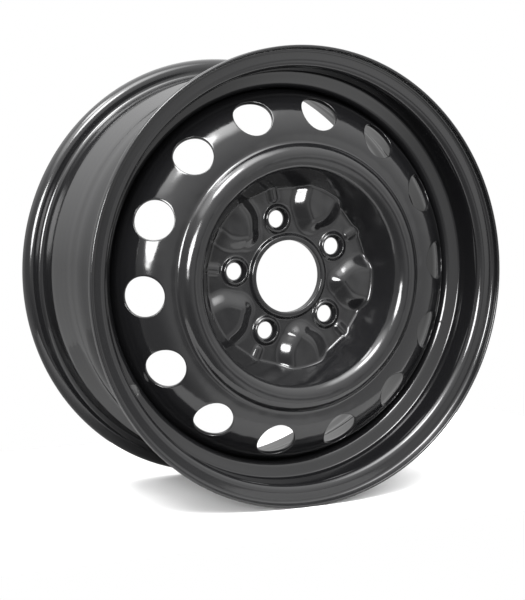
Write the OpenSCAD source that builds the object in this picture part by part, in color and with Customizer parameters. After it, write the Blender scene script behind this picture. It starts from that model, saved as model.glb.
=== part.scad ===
// Pressed-steel car wheel: a rolled rim, a stamped disc fitted inside the rim's well, and the welds between them.
// The wheel's axis lies along Y. The outboard, styled face looks along -Y, and +Z is up.
// Sections are drawn as [radius, axial place], with the axial place counted from the rim's middle plane.

/* [Rim] */
// Distance between the tyre faces of the two flanges
rim_width = 177.8; // [150:0.1:230]
// Bead seat diameter, where the bead seat's line meets the flange face
bead_seat_d = 405.6; // [380:0.1:436]
// Thickness of the rolled strip
rim_wall = 2.6; // [2:0.1:3.4]
// Height of the flanges above the bead seat
flange_height = 17.3; // [15:0.1:20]
// How far the curled lips stand out past the flange faces
lip_reach = 11; // [9:0.1:14]
// Bend radius of the lip's curl, at mid-wall
lip_curl = 5.2; // [4:0.1:10]
// Bend radius between flange and bead seat, at mid-wall
seat_bend = 6.5; // [4:0.1:7.5]
// Length of the bead seats along the axis
seat_length = 21; // [18:0.5:24]
// Taper of the bead seats in degrees
seat_taper = 5; // [2:0.5:8]
// Height of the safety humps above the bead seat's end
hump_height = 0.7; // [0.4:0.1:2]
// Length of the safety humps along the axis
hump_length = 10.4; // [7:0.1:12]
// Bend radius of the safety humps, at mid-wall
hump_bend = 3; // [2.5:0.1:4.5]
// Depth of the drop-centre well below the bead seat
well_depth = 17.3; // [14:0.1:22]
// Length of the well's floor along the axis
well_length = 43.8; // [34:0.1:52]
// Slope of the well's outboard flank in degrees from the axis
flank_slope = 76; // [60:1:80]
// Bend radius at the foot of the outboard flank, at mid-wall
flank_bend = 3.2; // [2.5:0.1:6]
// Slope of the well's inboard ramp in degrees from the axis
ramp_slope = 28; // [20:1:45]
// Height of the inboard ledge above the well's floor
ledge_height = 8.6; // [6:0.1:12]
// Slope from the inboard hump down to the ledge in degrees from the axis
ledge_slope = 13; // [10:0.5:20]
// Bend radius at both ends of the ledge and of the ramp, at mid-wall
ledge_bend = 24; // [8:0.5:30]

/* [Valve hole] */
// Diameter of the valve hole
valve_hole_d = 11.5; // [9:0.1:16]
// How far up the flank from the well's floor the valve hole sits, as a radius step
valve_rise = 8.1; // [7:0.1:9.5]
// Direction of the valve hole in degrees, from the top towards +X
valve_turn = 238; // [0:0.1:360]

/* [Disc] */
// Thickness of the stamped disc
disc_wall = 4.5; // [3:0.1:6]
// Distance from the rim's middle plane out to the mounting face
wheel_inset = 50; // [40:0.5:60]
// Height of the hat's crest above the mounting face
hat_height = 43.6; // [38:0.1:48]
// Radius of the hat's crest circle
hat_crest_r = 116; // [110:0.5:120]
// Bend radius over the hat's crest, at mid-wall
hat_round = 11.7; // [9:0.1:14]
// Lean of the dish's wall in degrees from the axis
dish_lean = 28; // [20:0.5:34]
// Bend radius between the centre pad and the dish's wall, at mid-wall
pad_bend = 5; // [3.5:0.1:7]
// Slope of the hat's outer flank in degrees from the face
hat_flank = 50; // [40:1:60]
// Bend radius of the valley at the foot of the hat, at mid-wall
valley_bend = 8; // [5:0.1:10]
// Depth of the bowl's apex behind the hat's crest
bowl_drop = 8.8; // [7:0.1:13]
// Bend radius of the bowl between the valley and the skirt, at mid-wall
bowl_round = 49.7; // [30:0.1:55]
// Length of the skirt past the bowl's bend
skirt_length = 14; // [8:0.5:20]
// Gap all round between the skirt and the well before welding
skirt_clearance = 0.05; // [0.02:0.01:0.2]

/* [Hand holes] */
// Number of hand holes
hand_hole_count = 14; // [8:1:16]
// Diameter of the hand holes
hand_hole_d = 37.8; // [24:0.1:44]
// Distance from the hand holes' circle to the outside of the skirt
hand_hole_inset = 22.2; // [20:0.1:30]
// Direction of the first hand hole in degrees, from the top towards +X
hand_hole_turn = -17.4; // [-180:0.1:180]

/* [Hub seat] */
// Diameter of the centre bore
bore_d = 70.6; // [54:0.1:76]
// Height of the bore's lip above the pad
bore_lip_height = 3.7; // [1:0.1:6]
// Wall of the bore's lip
bore_lip_wall = 4.4; // [3:0.1:6]
// Rounding of the bore lip's edges
lip_edge = 1.3; // [0.4:0.1:1.4]
// Fillet radius at the foot of the bore's lip
lip_foot = 1.6; // [0.8:0.1:2]
// Number of wheel studs
lug_count = 5; // [4:1:5]
// Diameter of the stud circle
lug_circle_d = 114.3; // [112:0.1:120]
// Diameter of the lug holes
lug_hole_d = 16.5; // [12:0.1:18]
// Direction of the first lug hole in degrees, from the top towards +X
lug_turn = -11.7; // [-180:0.1:180]
// Diameter of the lug collars where they rise from the pad
collar_d = 30; // [28:0.1:32]
// Height of the lug collars above the pad
collar_height = 3.2; // [1:0.1:5]
// Mouth diameter of the conical nut seats
nut_seat_d = 22; // [20:0.1:24]
// Flat land round the mouth of the nut seats
collar_land = 1.2; // [0.5:0.1:1.8]
// Full angle of the conical nut seats in degrees
nut_seat_angle = 60; // [60:1:90]

/* [Stamped centre] */
// Height of the raised fans between the lugs
fan_height = 7.5; // [3:0.1:9]
// Width of the fans' sloping edges, seen along the axis
fan_ramp = 13.4; // [8:0.1:14]
// Radius of the nose at the top of a fan
fan_nose_r = 2.9; // [1:0.1:4]
// Distance from the wheel's axis to the centre of a fan's nose
fan_nose_place = 62.3; // [60:0.1:64]
// Half of the angle between a fan's two sides in degrees
fan_half_angle = 27; // [20:0.5:28]
// Width of the rib from each lug collar to the dish's wall
rib_width = 11; // [7:0.1:14]
// Height of those ribs above the pad
rib_height = 2.2; // [1:0.1:3.5]

/* [Welds] */
// Number of weld beads between the skirt's end and the well
weld_count = 8; // [4:1:12]
// Length of one bead in degrees round the well
weld_span = 26; // [10:1:28]
// Leg of the weld's fillet
weld_leg = 4.2; // [2:0.1:4.4]

/* [Hidden] */
$fn = 120;
steps_per_bend = 10;
overcut = 1;
fan_root = 0.8;
fan_nose_step = 0.15;
fan_crown = fan_nose_r * fan_height / fan_ramp / 2;
paint = "#202124";
weld_colour = "#2b2b2d";

// Rim section at mid-wall
lip_r = bead_seat_d / 2 + flange_height - rim_wall / 2;
seat_r = bead_seat_d / 2 - rim_wall / 2;
flange_y = rim_width / 2 + rim_wall / 2;
lip_y = rim_width / 2 + lip_reach - rim_wall / 2;
lip_bend = min(lip_curl, lip_y - flange_y);
seat_end_y = rim_width / 2 - seat_length;
seat_end_r = seat_r - (flange_y - seat_end_y) * tan(seat_taper);
hump_y = seat_end_y - hump_length / 2;
hump_r = seat_end_r + hump_height;
hump_end_y = seat_end_y - hump_length;
well_r = bead_seat_d / 2 - well_depth - rim_wall / 2;
well_start_y = -hump_end_y + (hump_r - well_r) / tan(flank_slope);
well_end_y = well_start_y + well_length;
ledge_r = well_r + ledge_height;
ramp_end_y = well_end_y + ledge_height / tan(ramp_slope);
ledge_end_y = hump_end_y - (seat_end_r - ledge_r) / tan(ledge_slope);
well_inner_r = well_r - rim_wall / 2;

rim_path = [
    [lip_r, -lip_y, 0],
    [lip_r, -flange_y, lip_bend],
    [seat_r, -flange_y, seat_bend],
    [seat_end_r, -seat_end_y, hump_bend],
    [hump_r, -hump_y, hump_bend],
    [hump_r, -hump_end_y, hump_bend],
    [well_r, well_start_y, flank_bend],
    [well_r, well_end_y, ledge_bend],
    [ledge_r, ramp_end_y, ledge_bend],
    [ledge_r, ledge_end_y, ledge_bend],
    [seat_end_r, hump_end_y, hump_bend],
    [hump_r, hump_y, hump_bend],
    [seat_end_r, seat_end_y, hump_bend],
    [seat_r, flange_y, seat_bend],
    [lip_r, flange_y, lip_bend],
    [lip_r, lip_y, 0]
];

// Disc section at mid-wall
pad_in_y = -wheel_inset;
pad_out_y = pad_in_y - disc_wall;
pad_y = pad_in_y - disc_wall / 2;
skirt_outer_r = well_inner_r - skirt_clearance;
skirt_r = skirt_outer_r - disc_wall / 2;
hat_y = pad_in_y - hat_height + disc_wall / 2;
hat_centre = [hat_crest_r, hat_y + hat_round];
apex_y = hat_y + bowl_drop;
dish_start = hat_centre + hat_round * [-cos(dish_lean), -sin(dish_lean)];
dish_run = [-sin(dish_lean), cos(dish_lean)];
flank_start = hat_centre + hat_round * [sin(hat_flank), -cos(hat_flank)];
flank_run = [cos(hat_flank), sin(hat_flank)];
face_run = [1, 0];
pad_edge = meet(dish_start, dish_run, [0, pad_y], face_run);
hat_corner = meet(dish_start, dish_run, flank_start, flank_run);
valley = meet(flank_start, flank_run, [0, apex_y], face_run);
valley_end_r = valley.x + valley_bend * tan(hat_flank / 2);
bowl_bend = min(bowl_round, skirt_r - valley_end_r);
bowl_centre = [skirt_r - bowl_bend, apex_y + bowl_bend];
skirt_end_y = bowl_centre.y + skirt_length;
bore_r = bore_d / 2;

disc_path = [
    [bore_r, pad_y, 0],
    [pad_edge.x, pad_edge.y, pad_bend],
    [hat_corner.x, hat_corner.y, hat_round],
    [valley.x, valley.y, valley_bend],
    [skirt_r, apex_y, bowl_bend],
    [skirt_r, skirt_end_y, 0]
];

// Hand holes are pierced square to the bowl at their own circle
hand_hole_r = skirt_outer_r - hand_hole_inset;
hand_hole_lean = asin((hand_hole_r - bowl_centre.x) / (bowl_bend + disc_wall / 2));
hand_hole_reach = bowl_bend + disc_wall / 2 + 2 * overcut;
hand_hole_from = bowl_bend / 2;

// The valve hole is pierced square to the flank
valve_r = well_r + valve_rise;
valve_y = well_start_y - valve_rise / tan(flank_slope);
valve_cut = 2 * rim_wall + 2 * overcut;

lug_circle_r = lug_circle_d / 2;
lip_sink = lip_foot / 4;
collar_top_y = pad_out_y - collar_height;
nut_seat_depth = (nut_seat_d - lug_hole_d) / 2 / tan(nut_seat_angle / 2);
rib_radius = ((rib_width / 2) ^ 2 + rib_height ^ 2) / (2 * rib_height);
rib_start_r = lug_circle_r + collar_d / 2 + rib_width / 2;
fan_reach = pad_edge.x;

// Crossing point of the line through p along u and the line through q along v
function meet(p, u, q, v) = p + u * cross(q - p, v) / cross(u, v);

function unit(v) = v / norm(v);

function turned(v, angle) = [v.x * cos(angle) - v.y * sin(angle), v.x * sin(angle) + v.y * cos(angle)];

// Points round one bend of a section path, set off by a distance to the left of the path's run
function bend_points(before, corner, after, radius, aside) =
    let(
        back = unit(before - corner),
        ahead = unit(after - corner),
        half = acos(back * ahead) / 2,
        side = sign(cross(corner - before, after - corner)),
        centre = corner + unit(back + ahead) * radius / sin(half),
        spoke = unit(corner + back * radius / tan(half) - centre) * (radius - side * aside),
        sweep = side * (180 - 2 * half)
    )
    [for (i = [0 : steps_per_bend]) centre + turned(spoke, sweep * i / steps_per_bend)];

function place(corner) = [corner.x, corner.y];

function left_of(from, to) = turned(unit(to - from), 90);

// One face of a sheet whose mid-wall follows a path of [radius, axial place, bend radius]
function face_points(path, aside) =
    let(
        last = len(path) - 1,
        first_left = left_of(place(path[0]), place(path[1])),
        last_left = left_of(place(path[last - 1]), place(path[last]))
    )
    concat(
        [place(path[0]) + first_left * aside],
        [for (i = [1 : last - 1], p = bend_points(
            place(path[i - 1]), place(path[i]), place(path[i + 1]), path[i][2], aside
        )) p],
        [place(path[last]) + last_left * aside]
    );

// Half-round edge at the end of a sheet, from its left face to its right face
function edge_points(from, to, wall) =
    [for (i = [1 : steps_per_bend - 1]) to + turned(left_of(from, to) * wall / 2, -180 * i / steps_per_bend)];

function reversed(list) = [for (i = [len(list) - 1 : -1 : 0]) list[i]];

// Turns a body built about Z, with its outboard side down, onto the wheel's axis
module on_wheel_axis() {
    rotate([-90, 0, 0])
        children();
}

// Turns a feature that points along +X to a direction counted from the top towards +X
module at_turn(turn) {
    rotate([0, 0, turn - 90])
        children();
}

module at_lugs() {
    for (i = [0 : lug_count - 1])
        at_turn(lug_turn + i * 360 / lug_count)
            children();
}

module between_lugs() {
    for (i = [0 : lug_count - 1])
        at_turn(lug_turn + (i + 0.5) * 360 / lug_count)
            children();
}

module sheet_section(path, wall) {
    polygon(concat(face_points(path, wall / 2), reversed(face_points(path, -wall / 2))));
}

module round_edged_section(path, wall) {
    last = len(path) - 1;
    polygon(concat(
        face_points(path, wall / 2),
        edge_points(place(path[last - 1]), place(path[last]), wall),
        reversed(face_points(path, -wall / 2)),
        edge_points(place(path[1]), place(path[0]), wall)
    ));
}

module valve_hole() {
    at_turn(valve_turn)
        translate([valve_r, 0, valve_y])
            rotate([0, 90 - flank_slope, 0])
                cylinder(d = valve_hole_d, h = valve_cut, center = true);
}

module rim() {
    color(paint)
        on_wheel_axis()
            difference() {
                rotate_extrude()
                    round_edged_section(rim_path, rim_wall);
                valve_hole();
            }
}

// Half section of a fan's sloping edge; the slope runs on under the pad's face and over the top, which is cut later
module fan_edge_section(inside, top, crown) {
    polygon([
        [inside, -fan_root],
        [top + fan_ramp * (1 + fan_root / fan_height), -fan_root],
        [top - fan_ramp * crown / fan_height, fan_height + crown],
        [inside, fan_height + crown]
    ]);
}

// Raised fan with sloping sides and a round nose; the pad's face is at z = 0 and the top at -fan_height
module fan_form() {
    side_top = fan_nose_r - fan_nose_step;
    translate([fan_nose_place, 0, 0])
        mirror([0, 0, 1])
            intersection() {
                union() {
                    rotate_extrude()
                        fan_edge_section(0, fan_nose_r, fan_crown);
                    translate([0, 0, -fan_root])
                        linear_extrude(fan_root + fan_height + 2 * fan_crown)
                            polygon([
                                [0, 0],
                                fan_reach * turned([1, 0], fan_half_angle),
                                fan_reach * turned([1, 0], -fan_half_angle)
                            ]);
                    for (side = [0, 1])
                        mirror([0, side, 0])
                            rotate([0, 0, fan_half_angle])
                                rotate([90, 0, 90])
                                    linear_extrude(fan_reach)
                                        fan_edge_section(-side_top / 2, side_top, fan_crown / 2);
                }
                translate([0, 0, -overcut])
                    cylinder(r = 2 * fan_reach, h = overcut + fan_height);
            }
}

// The fans end inside the dish's wall
module fans() {
    intersection() {
        between_lugs()
            translate([0, 0, pad_out_y])
                fan_form();
        translate([0, 0, pad_out_y - fan_height - overcut])
            cylinder(
                r1 = pad_edge.x + (fan_height + overcut + disc_wall / 2) * tan(dish_lean),
                r2 = pad_edge.x,
                h = fan_height + overcut + disc_wall / 2
            );
    }
}

// Hollows behind the fans, one sheet thickness further inboard
module fan_hollows() {
    between_lugs()
        translate([0, 0, pad_in_y])
            fan_form();
}

// Round-ended rib that runs out from a lug collar, its middle sunk below the sheet's face
module rib_form() {
    translate([rib_start_r, 0, rib_radius - rib_height])
        rotate([0, 90, 0])
            rotate_extrude()
                polygon(concat(
                    [[0, pad_edge.x - rib_start_r]],
                    [for (i = [0 : steps_per_bend]) rib_radius * turned([0, -1], 90 * i / steps_per_bend)],
                    [[rib_radius, pad_edge.x - rib_start_r]]
                ));
}

module ribs() {
    intersection() {
        at_lugs()
            translate([0, 0, pad_out_y])
                rib_form();
        translate([0, 0, pad_out_y - rib_height - overcut])
            cylinder(r = pad_edge.x, h = rib_height + overcut + disc_wall / 2);
    }
}

// Collar whose slope runs on below the pad's face
module lug_collar() {
    top_r = nut_seat_d / 2 + collar_land;
    flare = (collar_d / 2 - top_r) / collar_height;
    translate([lug_circle_r, 0, 0])
        rotate_extrude()
            polygon([
                [0, pad_y],
                [collar_d / 2 + flare * disc_wall / 2, pad_y],
                [top_r, collar_top_y],
                [0, collar_top_y]
            ]);
}

module lug_hole() {
    translate([lug_circle_r, 0, 0])
        rotate_extrude()
            polygon([
                [0, pad_in_y + overcut],
                [lug_hole_d / 2, pad_in_y + overcut],
                [lug_hole_d / 2, collar_top_y + nut_seat_depth],
                [nut_seat_d / 2 + overcut * tan(nut_seat_angle / 2), collar_top_y - overcut],
                [0, collar_top_y - overcut]
            ]);
}

// Lip round the bore, with a rounded crest and a fillet down to the pad
module bore_lip() {
    lip_top_y = pad_out_y - bore_lip_height;
    lip_outer_r = bore_r + bore_lip_wall;
    path = [
        [bore_r, pad_in_y, 0],
        [bore_r, lip_top_y, lip_edge],
        [lip_outer_r, lip_top_y, lip_edge],
        [lip_outer_r, pad_out_y, lip_foot],
        [lip_outer_r + 2 * lip_foot, pad_out_y + lip_sink, 0]
    ];
    rotate_extrude()
        polygon(concat(face_points(path, 0), [[lip_outer_r + 2 * lip_foot, pad_y], [lip_outer_r, pad_in_y]]));
}

module hand_holes() {
    for (i = [0 : hand_hole_count - 1])
        at_turn(hand_hole_turn - i * 360 / hand_hole_count)
            translate([bowl_centre.x, 0, bowl_centre.y])
                rotate([0, 180 - hand_hole_lean, 0])
                    translate([0, 0, hand_hole_from])
                        cylinder(d = hand_hole_d, h = hand_hole_reach);
}

module disc() {
    color(paint)
        on_wheel_axis()
            difference() {
                union() {
                    difference() {
                        union() {
                            rotate_extrude()
                                sheet_section(disc_path, disc_wall);
                            fans();
                            ribs();
                        }
                        fan_hollows();
                    }
                    bore_lip();
                    at_lugs()
                        lug_collar();
                }
                at_lugs()
                    lug_hole();
                hand_holes();
            }
}

// Quarter-round fillet bead in the corner between the skirt's end and the well
module weld_bead() {
    rotate_extrude(angle = weld_span)
        translate([well_inner_r, skirt_end_y])
            polygon(concat(
                [[0, 0]],
                [for (i = [0 : steps_per_bend]) weld_leg * turned([-1, 0], -90 * i / steps_per_bend)]
            ));
}

module disc_welds() {
    color(weld_colour)
        on_wheel_axis()
            for (i = [0 : weld_count - 1])
                rotate([0, 0, i * 360 / weld_count])
                    weld_bead();
}

rim();
disc();
disc_welds();
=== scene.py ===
"""Pressed-steel car wheel: the finished look of its rolled rim, stamped disc and welds."""

import math

import bmesh
import bpy
import numpy as np
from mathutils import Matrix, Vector


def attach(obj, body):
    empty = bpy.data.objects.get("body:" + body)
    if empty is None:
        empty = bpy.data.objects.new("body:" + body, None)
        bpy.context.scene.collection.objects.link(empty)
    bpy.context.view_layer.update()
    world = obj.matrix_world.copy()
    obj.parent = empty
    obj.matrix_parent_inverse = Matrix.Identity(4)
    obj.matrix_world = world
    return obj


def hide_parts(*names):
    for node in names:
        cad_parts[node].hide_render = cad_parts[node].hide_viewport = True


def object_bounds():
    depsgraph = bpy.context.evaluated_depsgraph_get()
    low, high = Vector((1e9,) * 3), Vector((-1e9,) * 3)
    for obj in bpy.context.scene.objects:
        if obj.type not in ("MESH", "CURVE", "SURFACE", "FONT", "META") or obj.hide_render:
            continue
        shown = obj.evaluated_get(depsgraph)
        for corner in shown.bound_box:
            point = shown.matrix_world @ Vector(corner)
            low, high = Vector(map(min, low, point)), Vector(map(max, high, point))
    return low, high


bl_info = {
    "name": "Steel Wheel Rim",
    "version": (1, 0, 0),
    "blender": (4, 5, 0),
    "location": "3D View > Sidebar > Wheel",
    "description": "Builds a black pressed-steel car wheel on its packed frame",
    "category": "Object",
}

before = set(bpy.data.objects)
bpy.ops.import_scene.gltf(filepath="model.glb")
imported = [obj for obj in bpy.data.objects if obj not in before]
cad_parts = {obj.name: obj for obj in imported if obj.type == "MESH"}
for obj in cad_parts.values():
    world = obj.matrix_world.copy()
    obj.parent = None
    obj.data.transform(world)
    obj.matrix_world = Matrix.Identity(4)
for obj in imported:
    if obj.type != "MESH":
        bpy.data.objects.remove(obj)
CAD_BOX = [list(corner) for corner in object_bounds()]
FLOOR_PLACE = CAD_BOX[0][2]
# One millimetre in metres
MM = 0.001
# Points closer than this are one point
SEAM = 0.0005 * MM

# The photograph's camera, found from the wheel's own circles
CAMERA_AZIMUTH = math.radians(-26.625)
CAMERA_RISE = math.radians(3.936)
CAMERA_TILT = math.radians(5.006)
CAMERA_DISTANCE = 1.475731
# Lens and sensor width in millimetres
CAMERA_LENS = 87.64
SENSOR = 36.0
# The softboxes' distance from the wheel's centre in metres
SOFTBOX_DISTANCE = 4.0


class RimSizes(bpy.types.PropertyGroup):
    """Sizes of the rolled rim."""

    rim_width: bpy.props.FloatProperty(
        name="Rim width", description="Distance between the tyre faces of the two flanges",
        default=177.8 * MM, unit="LENGTH", precision=5,
    )
    bead_seat: bpy.props.FloatProperty(
        name="Bead seat", description="Diameter where the bead seat meets the flange",
        default=405.6 * MM, unit="LENGTH", precision=5,
    )
    wall: bpy.props.FloatProperty(
        name="Wall", description="Thickness of the rolled strip",
        default=2.6 * MM, unit="LENGTH", precision=5,
    )
    flange_height: bpy.props.FloatProperty(
        name="Flange height", description="Height of the flanges above the bead seat",
        default=17.3 * MM, unit="LENGTH", precision=5,
    )
    lip_reach: bpy.props.FloatProperty(
        name="Lip reach", description="How far the lips stand out past the flange faces",
        default=11 * MM, unit="LENGTH", precision=5,
    )
    lip_curl: bpy.props.FloatProperty(
        name="Lip curl", description="Bend radius of the outboard lip's curl at mid-wall",
        default=5.2 * MM, unit="LENGTH", precision=5,
    )
    back_curl: bpy.props.FloatProperty(
        name="Inboard lip curl", description="Bend radius of the inboard lip's curl at mid-wall",
        default=8.4 * MM, unit="LENGTH", precision=5,
    )
    seat_bend: bpy.props.FloatProperty(
        name="Seat bend", description="Bend radius between flange and bead seat at mid-wall",
        default=6.5 * MM, unit="LENGTH", precision=5,
    )
    seat_length: bpy.props.FloatProperty(
        name="Seat length", description="Length of the bead seats along the axle",
        default=21 * MM, unit="LENGTH", precision=5,
    )
    seat_taper: bpy.props.FloatProperty(
        name="Seat taper", description="Taper of the bead seats",
        default=math.radians(5), subtype="ANGLE",
    )
    hump_height: bpy.props.FloatProperty(
        name="Hump height", description="Height of the safety humps above the bead seat's end",
        default=0.7 * MM, unit="LENGTH", precision=5,
    )
    hump_length: bpy.props.FloatProperty(
        name="Hump length", description="Length of the safety humps along the axle",
        default=10.4 * MM, unit="LENGTH", precision=5,
    )
    hump_bend: bpy.props.FloatProperty(
        name="Hump bend", description="Bend radius of the safety humps at mid-wall",
        default=4.4 * MM, unit="LENGTH", precision=5,
    )
    well_depth: bpy.props.FloatProperty(
        name="Well depth", description="Depth of the drop-centre well below the bead seat",
        default=17.3 * MM, unit="LENGTH", precision=5,
    )
    well_length: bpy.props.FloatProperty(
        name="Well length", description="Length of the well's floor along the axle",
        default=43.8 * MM, unit="LENGTH", precision=5,
    )
    flank_slope: bpy.props.FloatProperty(
        name="Flank slope", description="Slope of the well's outboard flank from the axle",
        default=math.radians(76), subtype="ANGLE",
    )
    flank_bend: bpy.props.FloatProperty(
        name="Flank bend", description="Bend radius at the foot of the outboard flank",
        default=6 * MM, unit="LENGTH", precision=5,
    )
    ramp_slope: bpy.props.FloatProperty(
        name="Ramp slope", description="Slope of the well's inboard ramp from the axle",
        default=math.radians(20), subtype="ANGLE",
    )
    ledge_height: bpy.props.FloatProperty(
        name="Ledge height", description="Height of the inboard ledge above the well's floor",
        default=8.6 * MM, unit="LENGTH", precision=5,
    )
    ledge_slope: bpy.props.FloatProperty(
        name="Ledge slope", description="Slope from the inboard hump down to the ledge",
        default=math.radians(13), subtype="ANGLE",
    )
    ledge_bend: bpy.props.FloatProperty(
        name="Ledge bend", description="Bend radius at the ends of the ledge and of the ramp",
        default=48 * MM, unit="LENGTH", precision=5,
    )
    valve_hole: bpy.props.FloatProperty(
        name="Valve hole", description="Diameter of the valve hole",
        default=11.5 * MM, unit="LENGTH", precision=5,
    )
    valve_rise: bpy.props.FloatProperty(
        name="Valve rise", description="Radius step from the well's floor up to the valve hole",
        default=8.1 * MM, unit="LENGTH", precision=5,
    )
    valve_turn: bpy.props.FloatProperty(
        name="Valve turn", description="Direction of the valve hole, from the top towards +X",
        default=math.radians(238), subtype="ANGLE",
    )


class DiscSizes(bpy.types.PropertyGroup):
    """Sizes of the stamped disc."""

    wall: bpy.props.FloatProperty(
        name="Wall", description="Thickness of the stamped disc",
        default=4.5 * MM, unit="LENGTH", precision=5,
    )
    inset: bpy.props.FloatProperty(
        name="Inset", description="Distance from the rim's middle plane out to the mounting face",
        default=50 * MM, unit="LENGTH", precision=5,
    )
    hat_height: bpy.props.FloatProperty(
        name="Hat height", description="Height of the hat's crest above the mounting face",
        default=43.6 * MM, unit="LENGTH", precision=5,
    )
    hat_crest: bpy.props.FloatProperty(
        name="Hat crest", description="Radius of the hat's crest circle",
        default=116 * MM, unit="LENGTH", precision=5,
    )
    hat_round: bpy.props.FloatProperty(
        name="Hat round", description="Bend radius over the hat's crest at mid-wall",
        default=11.7 * MM, unit="LENGTH", precision=5,
    )
    dish_lean: bpy.props.FloatProperty(
        name="Dish lean", description="Lean of the dish's wall from the axle",
        default=math.radians(28), subtype="ANGLE",
    )
    hat_flank: bpy.props.FloatProperty(
        name="Hat flank", description="Slope of the hat's outer flank from the face",
        default=math.radians(50), subtype="ANGLE",
    )
    valley_bend: bpy.props.FloatProperty(
        name="Valley bend", description="Bend radius of the valley at the foot of the hat",
        default=8 * MM, unit="LENGTH", precision=5,
    )
    bowl_drop: bpy.props.FloatProperty(
        name="Bowl drop", description="Depth of the bowl's apex behind the hat's crest",
        default=8.8 * MM, unit="LENGTH", precision=5,
    )
    bowl_round: bpy.props.FloatProperty(
        name="Bowl round", description="Bend radius of the bowl between valley and skirt",
        default=49.7 * MM, unit="LENGTH", precision=5,
    )
    skirt_length: bpy.props.FloatProperty(
        name="Skirt length", description="Length of the skirt past the bowl's bend",
        default=14 * MM, unit="LENGTH", precision=5,
    )
    skirt_radius: bpy.props.FloatProperty(
        name="Skirt radius", description="Outside radius of the skirt, just inside the well",
        default=182.85 * MM, unit="LENGTH", precision=5,
    )
    hand_holes: bpy.props.IntProperty(
        name="Hand holes", description="Number of hand holes",
        default=14, min=1,
    )
    hand_hole: bpy.props.FloatProperty(
        name="Hand hole", description="Diameter of the hand holes",
        default=37.8 * MM, unit="LENGTH", precision=5,
    )
    hand_hole_inset: bpy.props.FloatProperty(
        name="Hand hole inset",
        description="Distance from the hand holes' circle to the outside of the skirt",
        default=22.2 * MM, unit="LENGTH", precision=5,
    )
    hand_hole_turn: bpy.props.FloatProperty(
        name="Hand hole turn", description="Direction of the first hand hole, from the top towards +X",
        default=math.radians(-17.4), subtype="ANGLE",
    )
    bore: bpy.props.FloatProperty(
        name="Bore", description="Diameter of the centre bore",
        default=70.6 * MM, unit="LENGTH", precision=5,
    )
    lip_height: bpy.props.FloatProperty(
        name="Lip height", description="Height of the bore's lip above the pad",
        default=3.7 * MM, unit="LENGTH", precision=5,
    )
    lip_foot: bpy.props.FloatProperty(
        name="Lip foot", description="Radius of the circle where the bore's lip meets the pad",
        default=43.2 * MM, unit="LENGTH", precision=5,
    )
    lugs: bpy.props.IntProperty(
        name="Lugs", description="Number of lug holes",
        default=5, min=1,
    )
    lug_circle: bpy.props.FloatProperty(
        name="Lug circle", description="Diameter of the stud circle",
        default=114.3 * MM, unit="LENGTH", precision=5,
    )
    lug_hole: bpy.props.FloatProperty(
        name="Lug hole", description="Diameter of the lug holes",
        default=16.5 * MM, unit="LENGTH", precision=5,
    )
    lug_turn: bpy.props.FloatProperty(
        name="Lug turn", description="Direction of the first lug hole, from the top towards +X",
        default=math.radians(-11.7), subtype="ANGLE",
    )
    collar: bpy.props.FloatProperty(
        name="Collar", description="Diameter of the lug collars where they rise from the pad",
        default=30 * MM, unit="LENGTH", precision=5,
    )
    collar_height: bpy.props.FloatProperty(
        name="Collar height", description="Height of the lug collars above the pad",
        default=3.2 * MM, unit="LENGTH", precision=5,
    )
    nut_seat: bpy.props.FloatProperty(
        name="Nut seat", description="Mouth diameter of the conical nut seats",
        default=22 * MM, unit="LENGTH", precision=5,
    )
    collar_land: bpy.props.FloatProperty(
        name="Collar land", description="Flat land round the mouth of the nut seats",
        default=1.2 * MM, unit="LENGTH", precision=5,
    )
    nut_seat_angle: bpy.props.FloatProperty(
        name="Nut seat angle", description="Full angle of the conical nut seats",
        default=math.radians(60), subtype="ANGLE",
    )
    fan_height: bpy.props.FloatProperty(
        name="Fan height", description="Height of the raised fans between the lugs",
        default=7.5 * MM, unit="LENGTH", precision=5,
    )
    fan_ramp: bpy.props.FloatProperty(
        name="Fan ramp", description="Width of the fans' sloping edges, seen along the axle",
        default=13.4 * MM, unit="LENGTH", precision=5,
    )
    fan_nose: bpy.props.FloatProperty(
        name="Fan nose", description="Radius of the nose at the top of a fan",
        default=2.9 * MM, unit="LENGTH", precision=5,
    )
    fan_place: bpy.props.FloatProperty(
        name="Fan place", description="Distance from the axle to the centre of a fan's nose",
        default=62.3 * MM, unit="LENGTH", precision=5,
    )
    fan_bulge: bpy.props.FloatProperty(
        name="Fan bulge", description="How far the fans' sides bulge out in the middle of their length",
        default=3.6 * MM, unit="LENGTH", precision=5,
    )
    fan_spread: bpy.props.FloatProperty(
        name="Fan spread", description="Half of the angle between a fan's two sides",
        default=math.radians(27), subtype="ANGLE",
    )
    rib_width: bpy.props.FloatProperty(
        name="Rib width", description="Width of the rib from each lug collar to the dish's wall",
        default=11 * MM, unit="LENGTH", precision=5,
    )
    rib_height: bpy.props.FloatProperty(
        name="Rib height", description="Height of those ribs above the pad",
        default=2.2 * MM, unit="LENGTH", precision=5,
    )


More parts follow.
